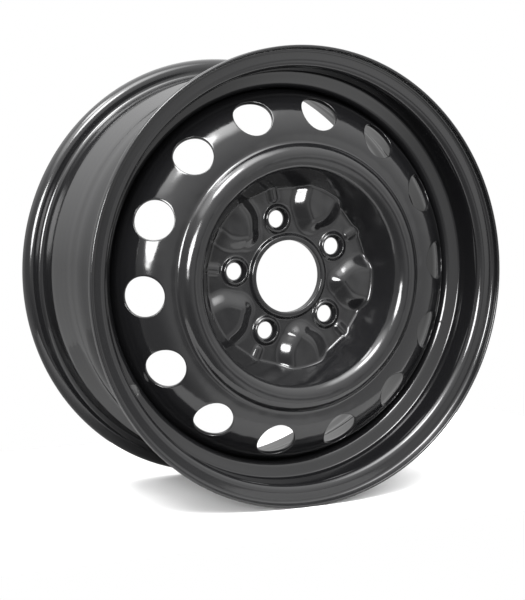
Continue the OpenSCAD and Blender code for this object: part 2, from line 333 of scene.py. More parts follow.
class WeldSizes(bpy.types.PropertyGroup):
    """Sizes of the weld beads."""

    beads: bpy.props.IntProperty(
        name="Beads", description="Number of weld beads between the skirt's end and the well",
        default=8, min=1,
    )
    span: bpy.props.FloatProperty(
        name="Span", description="Length of one bead round the well, as an angle",
        default=math.radians(26), subtype="ANGLE",
    )
    leg: bpy.props.FloatProperty(
        name="Leg", description="Leg of the weld's fillet",
        default=4.2 * MM, unit="LENGTH", precision=5,
    )
    radius: bpy.props.FloatProperty(
        name="Radius", description="Inside radius of the well that the beads lie on",
        default=182.9 * MM, unit="LENGTH", precision=5,
    )
    place: bpy.props.FloatProperty(
        name="Place", description="Place of the skirt's end along the axle",
        default=-18.85 * MM, unit="LENGTH", precision=5,
    )
    ripple: bpy.props.FloatProperty(
        name="Ripple", description="Distance from one ripple of a bead to the next",
        default=3.2 * MM, unit="LENGTH", precision=5,
    )
    ripple_depth: bpy.props.FloatProperty(
        name="Ripple depth", description="Depth of the ripples as a share of the leg",
        default=0.09, subtype="FACTOR",
    )


class PaintLook(bpy.types.PropertyGroup):
    """Colour and gloss of the paint."""

    colour: bpy.props.StringProperty(
        name="Colour", description="Black of the paint, as an sRGB hex value",
        default="#101011",
    )
    roughness: bpy.props.FloatProperty(
        name="Roughness", description="Roughness of the paint's surface",
        default=0.12, subtype="FACTOR", min=0.0, max=1.0,
    )
    peel: bpy.props.FloatProperty(
        name="Orange peel", description="Width of the paint's orange-peel waves",
        default=2.4 * MM, unit="LENGTH", precision=5,
    )
    seam_turn: bpy.props.FloatProperty(
        name="Seam turn", description="Direction of the rim's trimmed butt weld, from the top towards +X",
        default=math.radians(106.4), subtype="ANGLE",
    )


class StageLook(bpy.types.PropertyGroup):
    """Floor and light of the studio."""

    floor_colour: bpy.props.StringProperty(
        name="Floor colour", description="Colour of the floor, as an sRGB hex value",
        default="#c4c4c4",
    )
    # Painted shade: the floor's darker colour in reflections behind the wheel
    painted_floor_shade: bpy.props.StringProperty(
        name="Floor shade",
        description="Colour of the floor behind the wheel in reflections, as an sRGB hex value",
        default="#707070",
    )
    floor_white: bpy.props.StringProperty(
        name="Floor white", description="Colour of the floor seen by the camera, as an sRGB hex value",
        default="#e6e6e6",
    )
    room_light: bpy.props.FloatProperty(
        name="Room light", description="Strength of the white room round the wheel",
        default=1.03, min=0.0,
    )
    ceiling_light: bpy.props.FloatProperty(
        name="Ceiling light", description="Strength of the white room straight above",
        default=2.7, min=0.0,
    )
    ceiling_glow: bpy.props.FloatProperty(
        name="Ceiling glow", description="Added strength of the ceiling round the top softbox",
        default=4.5, min=0.0,
    )
    front_light: bpy.props.FloatProperty(
        name="Front light", description="Power of the softbox beside the camera",
        default=170.0, unit="POWER", min=0.0,
    )
    left_light: bpy.props.FloatProperty(
        name="Left light", description="Power of the softbox high over the wheel's left side",
        default=46.0, unit="POWER", min=0.0,
    )
    top_light: bpy.props.FloatProperty(
        name="Top light", description="Power of the softbox over the wheel's left side",
        default=140.0, unit="POWER", min=0.0,
    )


class WheelSettings(bpy.types.PropertyGroup):
    """All settings of the wheel."""

    rim: bpy.props.PointerProperty(type=RimSizes, name="Rim", description="Sizes of the rim")
    disc: bpy.props.PointerProperty(type=DiscSizes, name="Disc", description="Sizes of the disc")
    welds: bpy.props.PointerProperty(type=WeldSizes, name="Welds", description="Sizes of the welds")
    paint: bpy.props.PointerProperty(type=PaintLook, name="Paint", description="Look of the paint")
    stage: bpy.props.PointerProperty(type=StageLook, name="Stage", description="Look of the studio")


def linear(colour):
    """Linear RGBA of an sRGB hex value."""
    parts = [int(colour[i:i + 2], 16) / 255 for i in (1, 3, 5)]
    return [p / 12.92 if p <= 0.04045 else ((p + 0.055) / 1.055) ** 2.4 for p in parts] + [1.0]


def add_node(tree, kind, inputs=None, **options):
    """Adds a node with its options, and fills or links its inputs by name or place."""
    made = tree.nodes.new(kind)
    for name, value in options.items():
        setattr(made, name, value)
    for key, value in (inputs or {}).items():
        if isinstance(value, bpy.types.NodeSocket):
            tree.links.new(value, made.inputs[key])
        else:
            made.inputs[key].default_value = value
    return made


def cross(a, b):
    """Signed area of the parallelogram on two plane vectors."""
    return a[0] * b[1] - a[1] * b[0]


def unit(v):
    """Vector of length one along v."""
    return v / np.linalg.norm(v)


def turned(v, angle):
    """Plane vector turned by an angle."""
    c, s = math.cos(angle), math.sin(angle)
    return np.array([v[0] * c - v[1] * s, v[0] * s + v[1] * c])


def meet(p, u, q, v):
    """Crossing point of the line through p along u and the line through q along v."""
    return p + u * cross(q - p, v) / cross(u, v)


def ease(x):
    """Smooth step from 0 to 1."""
    x = np.clip(x, 0, 1)
    return x * x * (3 - 2 * x)


def joined(a, b, reach):
    """The higher of two heights, with the crease between them filled over a reach."""
    near = np.maximum(reach - np.abs(a - b), 0) / reach
    return np.maximum(a, b) + near ** 3 * reach / 6


def trimmed(a, b, reach):
    """The lower of two heights, with the edge between them rounded over a reach."""
    return -joined(-a, -b, reach)


def on_wheel(radius, place, turn):
    """Points at a radius, a place along the axle and a direction counted from the top towards +X."""
    return np.stack(np.broadcast_arrays(radius * np.sin(turn), place, radius * np.cos(turn)), -1)


def revolved(line, turns):
    """Grid of a section line of [radius, place] carried through the given directions."""
    return on_wheel(line[:, :1], line[:, 1:], np.asarray(turns)[None, :])


def bend_points(before, corner, after, radius, aside, finest):
    """One bend of a section, set off to the left of its run."""
    back, ahead = unit(before - corner), unit(after - corner)
    half = math.acos(back @ ahead) / 2
    side = math.copysign(1, cross(corner - before, after - corner))
    centre = corner + unit(back + ahead) * radius / math.sin(half)
    spoke = unit(corner + back * radius / math.tan(half) - centre) * (radius - side * aside)
    sweep = side * (math.pi - 2 * half)
    steps = max(3, math.ceil(abs(sweep) / finest))
    return [centre + turned(spoke, sweep * i / steps) for i in range(steps + 1)]


def sheet_face(path, aside, finest, longest):
    """One face of a sheet along a path of [radius, place, bend radius].

    Also gives the two places in that line where each straight run starts and ends.
    """
    corners = [np.array(p[:2]) for p in path]
    bends = [
        bend_points(corners[i - 1], corners[i], corners[i + 1], path[i][2], aside, finest)
        for i in range(1, len(path) - 1)
    ]
    first = corners[0] + turned(unit(corners[1] - corners[0]), math.pi / 2) * aside
    last = corners[-1] + turned(unit(corners[-1] - corners[-2]), math.pi / 2) * aside
    stretches = [[first], *bends, [last]]
    line, runs = [], []
    for i, points in enumerate(stretches):
        if line:
            length = np.linalg.norm(corners[i] - corners[i - 1])
            steps = max(1, math.ceil(length / longest))
            start = line[-1]
            if (points[0] - start) @ (corners[i] - corners[i - 1]) < -SEAM * length:
                raise ValueError(f"the bends at both ends of run {i} of the section overlap")
            runs.append((len(line) - 1, len(line) - 1 + steps))
            line += [start + (points[0] - start) * k / steps for k in range(1, steps)]
        line += points
    return np.array(line), runs


def half_round(line, other, steps=8):
    """Half-round edge from the end of one face to the end of the other."""
    middle, arm = (line[-1] + other[-1]) / 2, (line[-1] - other[-1]) / 2
    outward = unit(line[-1] - line[-2])
    turns = np.linspace(0, math.pi, steps + 1)[:, None]
    return middle + arm * np.cos(turns) + outward * np.linalg.norm(arm) * np.sin(turns)


class Patchwork:
    """Collects grids of points that share their edges, and makes one mesh of them."""

    def __init__(self):
        self.points, self.faces, self.total = [], [], 0

    def grid(self, rows, wrap=False):
        """Adds a grid of points and its faces; a wrapped one closes on itself along its rows."""
        count, width = rows.shape[:2]
        index = np.arange(count * width).reshape(count, width) + self.total
        if wrap:
            index = np.concatenate([index, index[:, :1]], 1)
        self.points.append(rows.reshape(-1, 3))
        self.faces.append(np.stack(
            [index[:-1, :-1], index[:-1, 1:], index[1:, 1:], index[1:, :-1]], -1
        ).reshape(-1, 4))
        self.total += count * width

    def mesh(self, name):
        """Mesh of all the grids."""
        made = bpy.data.meshes.new(name)
        made.from_pydata(np.concatenate(self.points).tolist(), [], np.concatenate(self.faces).tolist())
        return made


def block_edge(steps, turns):
    """Closed loop of (step, direction) pairs round a block of a face."""
    steps, turns = np.asarray(steps), np.asarray(turns)
    sides = [
        np.stack([np.full(len(turns) - 1, steps[0]), turns[:-1]], 1),
        np.stack([steps[:-1], np.full(len(steps) - 1, turns[-1])], 1),
        np.stack([np.full(len(turns) - 1, steps[-1]), turns[:0:-1]], 1),
        np.stack([steps[:0:-1], np.full(len(steps) - 1, turns[0])], 1),
    ]
    return np.concatenate(sides)


def spoke_angles(along, across):
    """Angles round a hole for the points of a block's edge, evened out half way."""
    seen = np.unwrap(np.arctan2(across, along))
    even = seen[0] + np.arange(len(seen)) / len(seen) * math.copysign(2 * math.pi, seen[-1] - seen[0])
    return (seen + even + np.mean(seen - even)) / 2


def repeat_tree():
    """Geometry nodes that repeat one segment about the axle and close its seams."""
    tree_name = "Repeat About Axle"
    if tree_name in bpy.data.node_groups:
        return bpy.data.node_groups[tree_name]
    tree = bpy.data.node_groups.new(tree_name, "GeometryNodeTree")
    sockets = {
        "Geometry": "NodeSocketGeometry", "Count": "NodeSocketInt", "First Turn": "NodeSocketFloat",
        "Turn Step": "NodeSocketFloat", "Seam": "NodeSocketFloat", "Material": "NodeSocketMaterial",
    }
    for name, kind in sockets.items():
        tree.interface.new_socket(name, in_out="INPUT", socket_type=kind)
    tree.interface.new_socket("Geometry", in_out="OUTPUT", socket_type="NodeSocketGeometry")
    given = add_node(tree, "NodeGroupInput").outputs
    spots = add_node(tree, "GeometryNodePoints", {"Count": given["Count"]})
    index = add_node(tree, "GeometryNodeInputIndex")
    turn = add_node(tree, "ShaderNodeMath", {
        0: index.outputs[0], 1: given["Turn Step"], 2: given["First Turn"]}, operation="MULTIPLY_ADD")
    euler = add_node(tree, "ShaderNodeCombineXYZ", {"Y": turn.outputs[0]})
    spin = add_node(tree, "FunctionNodeEulerToRotation", {0: euler.outputs[0]})
    copies = add_node(tree, "GeometryNodeInstanceOnPoints", {
        "Points": spots.outputs[0], "Instance": given["Geometry"], "Rotation": spin.outputs[0]})
    real = add_node(tree, "GeometryNodeRealizeInstances", {"Geometry": copies.outputs[0]})
    whole = add_node(tree, "GeometryNodeMergeByDistance", {
        "Geometry": real.outputs[0], "Distance": given["Seam"]})
    done = add_node(tree, "GeometryNodeSetMaterial", {
        "Geometry": whole.outputs[0], "Material": given["Material"]})
    add_node(tree, "NodeGroupOutput", {"Geometry": done.outputs[0]})
    return tree


def node_result(mesh, tree, values):
    """Plain mesh that a geometry-node tree makes from a mesh with the named values."""
    carrier = bpy.data.objects.new("carrier", mesh)
    bpy.context.scene.collection.objects.link(carrier)
    modifier = carrier.modifiers.new("shape", "NODES")
    modifier.node_group = tree
    for socket in tree.interface.items_tree:
        if socket.in_out == "INPUT" and socket.name in values:
            modifier[socket.identifier] = values[socket.name]
    graph = bpy.context.evaluated_depsgraph_get()
    made = bpy.data.meshes.new_from_object(carrier.evaluated_get(graph), depsgraph=graph)
    carrier.modifiers.clear()
    bpy.data.objects.remove(carrier)
    return made


def finished_piece(name, meshes, material):
    """One closed, smooth piece at the origin that stands for the solid of the same name."""
    form = bmesh.new()
    for mesh in meshes:
        form.from_mesh(mesh)
        bpy.data.meshes.remove(mesh)
    bmesh.ops.remove_doubles(form, verts=form.verts, dist=SEAM)
    bmesh.ops.recalc_face_normals(form, faces=form.faces)
    open_edges = [e for e in form.edges if len(e.link_faces) != 2]
    if open_edges:
        spot = open_edges[0].verts[0].co
        raise RuntimeError(f"{name} isn't closed: {len(open_edges)} open edges near {spot}")
    for face in form.faces:
        face.smooth = True
        face.material_index = 0
    mesh = bpy.data.meshes.new(name + "_mesh")
    form.to_mesh(mesh)
    form.free()
    mesh.materials.clear()
    mesh.materials.append(material)
    piece = bpy.data.objects.new(name + "_piece", mesh)
    bpy.context.scene.collection.objects.link(piece)
    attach(piece, "root")
    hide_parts(name)
    return piece


def rim_path(s):
    """Mid-wall path of the rim's section, from the outboard lip to the inboard one.

    Each point is [radius, place, bend radius].
    """
    lip_r = s.bead_seat / 2 + s.flange_height - s.wall / 2
    seat_r = s.bead_seat / 2 - s.wall / 2
    flange = s.rim_width / 2 + s.wall / 2
    lip = s.rim_width / 2 + s.lip_reach - s.wall / 2
    curl, back_curl = min(s.lip_curl, lip - flange), min(s.back_curl, lip - flange)
    seat_end = s.rim_width / 2 - s.seat_length
    seat_end_r = seat_r - (flange - seat_end) * math.tan(s.seat_taper)
    hump = seat_end - s.hump_length / 2
    hump_r = seat_end_r + s.hump_height
    hump_end = seat_end - s.hump_length
    well_r = s.bead_seat / 2 - s.well_depth - s.wall / 2
    well_start = -hump_end + (hump_r - well_r) / math.tan(s.flank_slope)
    well_end = well_start + s.well_length
    ledge_r = well_r + s.ledge_height
    ramp_end = well_end + s.ledge_height / math.tan(s.ramp_slope)
    ledge_end = hump_end - (seat_end_r - ledge_r) / math.tan(s.ledge_slope)
    return [
        [lip_r, -lip, 0], [lip_r, -flange, curl], [seat_r, -flange, s.seat_bend],
        [seat_end_r, -seat_end, s.hump_bend], [hump_r, -hump, s.hump_bend],
        [hump_r, -hump_end, s.hump_bend], [well_r, well_start, s.flank_bend],
        [well_r, well_end, s.ledge_bend], [ledge_r, ramp_end, s.ledge_bend],
        [ledge_r, ledge_end, s.ledge_bend], [seat_end_r, hump_end, s.hump_bend],
        [hump_r, hump, s.hump_bend], [seat_end_r, seat_end, s.hump_bend],
        [seat_r, flange, s.seat_bend], [lip_r, flange, back_curl], [lip_r, lip, 0],
    ]


# Equal segments of the rim round the axle; the valve hole has one to itself
RIM_SEGMENTS = 24
# Columns of faces in a segment of the rim
RIM_COLUMNS = 11
# Straight run of the rim's path that is the well's outboard flank
FLANK_RUN = 5
# Rows of the bends at both ends of the flank that the valve hole's block takes in
BEND_ROWS = 6


def rim_segments(s):
    """A plain segment of the rim, and the one with the valve hole in its flank."""
    path = rim_path(s)
    # Largest turn from face to face in a bend, and longest face on a straight run
    finest, longest = math.radians(8), 5 * MM
    air, runs = sheet_face(path, s.wall / 2, finest, longest)
    tyre, _ = sheet_face(path, -s.wall / 2, finest, longest)
    half = math.pi / RIM_SEGMENTS
    turns = np.linspace(-half, half, RIM_COLUMNS + 1)
    edges = [half_round(air, tyre), half_round(air[::-1], tyre[::-1])]
    plain, pierced = Patchwork(), Patchwork()
    for line in [air, tyre, *edges]:
        plain.grid(revolved(line, turns))
    start, end = runs[FLANK_RUN]
    first, last = start - BEND_ROWS, end + BEND_ROWS
    for line in [air[:first + 1], air[last:], tyre[:first + 1], tyre[last:], *edges]:
        pierced.grid(revolved(line, turns))

    top, foot = (np.array(path[FLANK_RUN + i][:2]) for i in (0, 1))
    middle = foot + np.array([s.valve_rise, -s.valve_rise / math.tan(s.flank_slope)])
    down = unit(foot - top)
    inward = turned(down, math.pi / 2)
    # Rounding of the hole's edges, its rows, and the rows from the hole out to the block's edge
    rounding, round_rows, block_rows = 0.5 * MM, 4, 5
    walls = []
    angles = None
    for line, side in [(air, 1), (tyre, -1)]:
        face = middle + inward * side * s.wall / 2
        block = line[first:last + 1]
        reach = (block - face) @ down
        edge = block_edge(reach, turns)
        if angles is None:
            angles = spoke_angles(edge[:, 0], edge[:, 1] * middle[0])

        def spot(step, turn, depth=0.0):
            """Points of this face at a step down the flank, sunk into the sheet by a depth."""
            sunk = -depth * side * inward
            return on_wheel(np.interp(step, reach, block[:, 0]) + sunk[0],
                            np.interp(step, reach, block[:, 1]) + sunk[1], turn)

        def ring(radius):
            """Steps down the flank and directions of a circle round the hole's axis."""
            step = radius * np.cos(angles)
            return np.stack([step, radius * np.sin(angles) / (face[0] + step * down[0])], 1)

        mouth = ring(s.valve_hole / 2 + rounding)
        rows = mouth + (edge - mouth) * np.linspace(0, 1, block_rows + 1)[:, None, None]
        pierced.grid(spot(rows[..., 0], rows[..., 1]), wrap=True)
        lips = []
        for a in np.linspace(0, math.pi / 2, round_rows + 1):
            loop = ring(s.valve_hole / 2 + rounding * (1 - math.sin(a)))
            lips.append(spot(loop[:, 0], loop[:, 1], rounding * (1 - math.cos(a))))
        walls.append(np.array(lips))
    pierced.grid(np.concatenate([walls[0], walls[1][::-1]]), wrap=True)
    return plain.mesh("rim_segment"), pierced.mesh("valve_segment")


def disc_section(s):
    """Named points of the disc's section, at mid-wall."""
    skirt_r = s.skirt_radius - s.wall / 2
    hat = -s.inset - s.hat_height + s.wall / 2
    hat_centre = np.array([s.hat_crest, hat + s.hat_round])
    apex = hat + s.bowl_drop
    flank = s.hat_flank
    flank_start = hat_centre + s.hat_round * np.array([math.sin(flank), -math.cos(flank)])
    flank_run = np.array([math.cos(flank), math.sin(flank)])
    valley = meet(flank_start, flank_run, np.array([0, apex]), np.array([1.0, 0]))
    valley_end = valley[0] + s.valley_bend * math.tan(flank / 2)
    bowl_bend = min(s.bowl_round, skirt_r - valley_end)
    bowl_centre = np.array([skirt_r - bowl_bend, apex + bowl_bend])
    return {
        "skirt_r": skirt_r, "hat_centre": hat_centre, "valley": valley, "bowl_bend": bowl_bend,
        "bowl_centre": bowl_centre, "skirt_end": bowl_centre[1] + s.skirt_length,
    }


# Columns and rows of the block of faces round one hand hole
HAND_COLUMNS = 20
HAND_ROWS = 18
# Columns of faces in the segment round one lug, a multiple of four
LUG_COLUMNS = 56
# Rows of faces along one weld bead
BEAD_ROWS = 140


def section_arc(centre, radius, start, end, steps):
    """Arc of a section; the angle is counted from straight outboard towards the rim."""
    a = np.linspace(start, end, steps + 1)
    return np.stack([centre[0] + radius * np.sin(a), centre[1] - radius * np.cos(a)], 1)


def hand_hole_segment(s):
    """Segment of the disc from the hat's crest out to the skirt's end, with one hand hole."""
    p = disc_section(s)
    half = math.pi / s.hand_holes
    turns = np.linspace(-half, half, HAND_COLUMNS + 1)
    flank, skirt, bowl = s.hat_flank, p["skirt_r"], p["bowl_centre"]
    # Stretch of the bowl's bend that the block round the hole takes up
    first, last = math.radians(3.5), math.radians(62)
    steps = np.linspace(first, last, HAND_ROWS + 1)
    hole_r = s.skirt_radius - s.hand_hole_inset
    lean = math.asin((hole_r - bowl[0]) / (p["bowl_bend"] + s.wall / 2))
    valley_centre = p["valley"] + np.array([s.valley_bend * math.tan(flank / 2), -s.valley_bend])
    # Rounding of the sheared edges and its rows, and how far the rows crowd towards the hole
    rounding, round_rows, crowding = 0.8 * MM, 3, 1.15
    flank_rows, skirt_rows = 3, 5
    quarter = np.linspace(0, math.pi / 2, round_rows + 1)
    work, walls, ends = Patchwork(), [], []
    angles = None
    # The outboard face, which is seen most, has more rows than the inboard one
    for side, rings, hat_rows, valley_rows in [(-1, 9, 9, 8), (1, 5, 6, 6)]:
        aside = side * s.wall / 2
        radius = p["bowl_bend"] - aside
        hat = section_arc(p["hat_centre"], s.hat_round - aside, 0, flank, hat_rows)
        valley = section_arc(valley_centre, -(s.valley_bend + aside), flank, 0, valley_rows)
        slope = hat[-1] + (valley[0] - hat[-1]) * np.linspace(0, 1, flank_rows + 1)[1:-1, None]
        bowl_start = section_arc(bowl, radius, 0, first, 1)
        bowl_end = section_arc(bowl, radius, last, math.pi / 2, skirt_rows)
        work.grid(revolved(np.concatenate([hat, slope, valley, bowl_start]), turns))
        end = np.array([skirt - aside, p["skirt_end"] - rounding])
        work.grid(revolved(np.concatenate([bowl_end, [end]]), turns))
        ends.append(end)

        def ring(hole, depth=0.0):
            """Loop of the hole's cylinder on this face: bowl angle, direction and points."""
            along, across = hole * np.cos(angles), hole * np.sin(angles)

            def where(rise):
                """Radius, place and direction at a rise along the hole's axis."""
                out = bowl[0] + rise * math.sin(lean) + along * math.cos(lean)
                place = bowl[1] - rise * math.cos(lean) + along * math.sin(lean)
                return np.hypot(out, across), place, np.arctan2(across, out)

            # A few steps settle on where the hole's wall meets the bowl
            rise = np.sqrt(radius ** 2 - along ** 2)
            for _ in range(12):
                far, place, turn = where(rise)
                rise = rise - (np.hypot(far - bowl[0], place - bowl[1]) - radius)
            far, place, turn = where(rise + side * depth)
            return np.arctan2(far - bowl[0], bowl[1] - place), turn, on_wheel(far, place, turn)

        edge = block_edge(steps, turns)
        if angles is None:
            angles = spoke_angles((edge[:, 0] - lean) * radius, edge[:, 1] * hole_r)
        bowl_angle, turn, _ = ring(s.hand_hole / 2 + rounding)
        mouth = np.stack([bowl_angle, turn], 1)
        shares = np.linspace(0, 1, rings + 1)[:, None, None] ** crowding
        rows = mouth + (edge - mouth) * shares
        block_r = bowl[0] + radius * np.sin(rows[..., 0])
        block_place = bowl[1] - radius * np.cos(rows[..., 0])
        work.grid(on_wheel(block_r, block_place, rows[..., 1]), wrap=True)
        walls.append(np.array([
            ring(s.hand_hole / 2 + rounding * (1 - math.sin(a)), rounding * (1 - math.cos(a)))[2]
            for a in quarter
        ]))
    work.grid(np.concatenate([walls[0], walls[1][::-1]]), wrap=True)
    outside, inside = (
        np.stack([end[0] + side * rounding * (1 - np.cos(quarter)), end[1] + rounding * np.sin(quarter)], 1)
        for end, side in zip(ends, (-1, 1))
    )
    work.grid(revolved(np.concatenate([outside, inside[::-1]]), turns))
    return work.mesh("hand_hole_segment")


def lug_segment(s):
    """Segment of the disc from the bore to the hat's crest, with a lug seat between two half fans."""
    p = disc_section(s)
    lug_r, share = s.lug_circle / 2, 2 * math.pi / s.lugs
    front, back = -s.inset - s.wall, -s.inset
    crest = p["hat_centre"][0]
    lean, steep = s.dish_lean, 1 / math.tan(s.dish_lean)
    # The columns swing on the dish's wall, so that they meet those of the hand holes at the crest
    twist_step = 2 * math.pi / (s.hand_holes * HAND_COLUMNS)
    twist = math.remainder(s.hand_hole_turn - s.lug_turn, twist_step)
    twist_start, twist_end = 100 * MM, crest - 1 * MM
    # Length of a fan's bulging side, and the rounding of its slope at the top and at the foot
    fan_side, fan_shoulder, fan_toe = 28 * MM, 2.2 * MM, 2.6 * MM
    # Flat facets at the foot of the dish: their corner radius, the round foot's radius,
    # and where up the wall they fade
    facet_corner, round_foot = 87.4 * MM, 86.82 * MM
    facet_top, facet_fade = 86 * MM, 12 * MM
    # Reaches over which the forms of the outboard face run into each other
    rib_blend, wall_blend, lip_blend, collar_blend = 0.8 * MM, 3.2 * MM, 0.6 * MM, 1.4 * MM
    land_round, seat_round = 1.6 * MM, 0.7 * MM
    # The same for the dish and the fans' hollows on the inboard face
    hollow_blend = 4 * MM
    # Width of the slope from the bore lip's top down to its foot
    lip_slope = 4.2 * MM

    def dish(radius, side):
        """Height of the dish's wall and the hat over the pad's face, without the pad."""
        bend = s.hat_round - side * s.wall / 2
        centre_height = (front if side < 0 else back) - p["hat_centre"][1]
        tangent = crest - bend * math.cos(lean)
        foot_height = centre_height + bend * math.sin(lean)
        arch = centre_height + np.sqrt(np.maximum(bend ** 2 - (radius - crest) ** 2, 0))
        return np.where(radius < tangent, foot_height + (radius - tangent) * steep, arch)

    def fan(out, across):
        """Height of the fans at both sides of the lug."""
        turn = share / 2
        along = out * math.cos(turn) + np.abs(across) * math.sin(turn) - s.fan_place
        aside = np.abs(out * math.sin(turn) - np.abs(across) * math.cos(turn))
        side_run = along * math.cos(s.fan_spread) + aside * math.sin(s.fan_spread)
        off_side = aside * math.cos(s.fan_spread) - along * math.sin(s.fan_spread)
        bulge = s.fan_bulge * np.sin(math.pi * np.clip(side_run / fan_side, 0, 1))
        away = np.where(side_run > 0, off_side - bulge, np.hypot(along, aside)) - s.fan_nose
        return s.fan_height * (1 - ease((away + fan_shoulder) / (s.fan_ramp + fan_shoulder + fan_toe)))

    def front_height(out, across):
        """Height of the outboard face over the pad."""
        radius, turn = np.hypot(out, across), np.abs(np.arctan2(across, out))
        # Half the angle of one facet; two meet at the lug, and they end in the fans
        chord = share / 8
        facet_end, facet_run_out = 1.7 * chord, 0.5 * chord
        straight = facet_corner * math.cos(chord) / np.cos(np.minimum(turn, 2 * chord) - chord)
        in_fan = ease((turn - facet_end) / facet_run_out)
        up_wall = ease((radius - facet_top) / facet_fade)
        wall = dish(radius - (straight - round_foot) * (1 - in_fan) * (1 - up_wall), -1)
        # Half the width of the rib's flat top, and the width of its sloping side
        rib_top, rib_side = 0.2 * s.rib_width, 0.33 * s.rib_width
        rib_start = lug_r + s.collar / 2 + s.rib_width / 2
        from_rib = np.hypot(np.minimum(out - rib_start, 0), across)
        rib = s.rib_height * (1 - ease((from_rib - rib_top) / rib_side))
        rib = np.where(out > lug_r, rib, 0)
        height = joined(joined(fan(out, across), rib, rib_blend), wall, wall_blend)
        lip = s.lip_height * (1 - ease((radius - s.lip_foot + lip_slope) / lip_slope))
        height = joined(height, lip, lip_blend)
        from_lug = np.hypot(out - lug_r, across)
        top_r = s.nut_seat / 2 + s.collar_land
        flank = s.collar_height * (s.collar / 2 - from_lug) / (s.collar / 2 - top_r)
        collar = trimmed(flank, np.full_like(flank, s.collar_height), land_round)
        height = joined(height, collar, collar_blend)
        cone = s.collar_height - (s.nut_seat / 2 - from_lug) / math.tan(s.nut_seat_angle / 2)
        return trimmed(height, cone, seat_round)

    def back_height(out, across):
        """Height of the inboard face's hollows over the mounting face."""
        return joined(fan(out, across), dish(np.hypot(out, across), 1), hollow_blend)

    turns = np.linspace(-share / 2, share / 2, LUG_COLUMNS + 1)
    quarter = LUG_COLUMNS // 4
    lug_turns = turns[quarter:3 * quarter + 1]
    work = Patchwork()

    def face_points(radius, turn, height, level):
        """Points of one face at a radius and a direction from the lug."""
        out, across = radius * np.cos(turn), radius * np.sin(turn)
        swing = twist * ease((radius - twist_start) / (twist_end - twist_start))
        return on_wheel(radius, level - height(out, across), turn + swing)

    hole, bore = s.lug_hole / 2, s.bore / 2
    # Rounding of the bore lip's top, and of the sheared edges on the inboard face
    lip_edge, edge_round = 1.3 * MM, 0.6 * MM
    seat_depth = (s.nut_seat / 2 - hole) / math.tan(s.nut_seat_angle / 2) - s.collar_height
    # Steps out from the lug hole, closest where the nut seat's mouth and the collar's land turn
    seat_steps = [0, 0.65, 1.3, 1.95, 2.35, 2.6, 2.85, 3.15]
    collar_steps = [3.5, 3.8, 4.1, 4.5, 5, 5.6, 6.1, 6.55]
    fine_rings = np.array(seat_steps + collar_steps) * MM + hole
    coarse_rings = np.array([0.6, 2, 4, 6.5]) * MM + hole
    # The ring of the pad that holds the lug hole's block, and its rows
    inner, outer = s.lip_foot + 0.2 * MM, 74 * MM
    near = np.linspace(inner, outer, 28)
    centre = np.array([lug_r, 0])
    edge = block_edge(near, lug_turns)
    limit = np.stack([edge[:, 0] * np.cos(edge[:, 1]), edge[:, 0] * np.sin(edge[:, 1])], 1)
    angles = spoke_angles(limit[:, 0] - lug_r, limit[:, 1])
    circle = np.stack([np.cos(angles), np.sin(angles)], 1)
    # For each face: its height, its level, where the bore's rounding ends, the rings round the
    # lug hole, and the rows from these to the block's edge, up the dish and down the bore's lip
    for height, level, lip_start, rings, block_rows, dish_rows, lip_rows in [
        (front_height, front, bore + lip_edge, fine_rings, 8, 36, 12),
        (back_height, back, bore + edge_round, coarse_rings, 5, 24, 4),
    ]:
        for part in (turns[:quarter + 1], turns[3 * quarter:]):
            work.grid(face_points(near[:, None], part[None, :], height, level))
        for start, end, count in [(outer, crest, dish_rows), (lip_start, inner, lip_rows)]:
            rows = np.linspace(start, end, count + 1)
            work.grid(face_points(rows[:, None], turns[None, :], height, level))
        plan = [centre + circle * r for r in rings]
        plan += [plan[len(rings) - 1] + (limit - plan[len(rings) - 1]) * k / block_rows
                 for k in range(1, block_rows + 1)]
        plan = np.array(plan)
        radius, turn = np.hypot(plan[..., 0], plan[..., 1]), np.arctan2(plan[..., 1], plan[..., 0])
        work.grid(face_points(radius, turn, height, level), wrap=True)

    tube = [(hole, front + seat_depth)]
    tube += [(hole + edge_round * (1 - math.cos(a)), back - edge_round * (1 - math.sin(a)))
             for a in np.linspace(0, math.pi / 2, 4)]
    rows = []
    for r, place in tube:
        spots = centre + circle * r
        rows.append(on_wheel(
            np.hypot(spots[:, 0], spots[:, 1]), place, np.arctan2(spots[:, 1], spots[:, 0])))
    work.grid(np.array(rows), wrap=True)

    lip_top = front - s.lip_height
    a = np.linspace(0, math.pi / 2, 6)
    crown = np.stack([bore + lip_edge * (1 - np.sin(a)), lip_top + lip_edge * (1 - np.cos(a))], 1)
    foot = np.stack([bore + edge_round * (1 - np.cos(a)), back - edge_round * (1 - np.sin(a))], 1)
    work.grid(revolved(np.concatenate([crown, foot]), turns))
    return work.mesh("lug_segment")


def weld_bead(s):
    """One rippled fillet bead in the corner between the skirt's end and the well."""
    share = np.linspace(0, 1, BEAD_ROWS + 1)[:, None]
    # Section as shares of the leg: a quarter round, then back along both legs through the corner
    arc_points = 11
    quarter = np.linspace(0, math.pi / 2, arc_points)
    inward = np.concatenate([np.cos(quarter), [0, 0, 0.5, 1]])
    inboard = np.concatenate([np.sin(quarter), [0.5, 0, 0, 0]])
    # The ripples bow: at both edges of the bead they lag by this share of a ripple
    bow = 0.45
    lag = bow * np.concatenate([np.linspace(-1, 1, arc_points) ** 2, np.ones(4)])
    ripples = round(s.span * s.radius / s.ripple)
    wave = np.abs(np.sin(math.pi * (share * ripples + lag)))
    # A high power keeps the bead full nearly to its blunt ends
    bluntness = 14
    fullness = np.sqrt(1 - np.abs(2 * share - 1) ** bluntness)
    reach = s.leg * fullness * (1 - s.ripple_depth * (1 - wave))
    work = Patchwork()
    work.grid(on_wheel(s.radius - reach * inward, s.place + reach * inboard, share * s.span))
    return work.mesh("weld_bead")


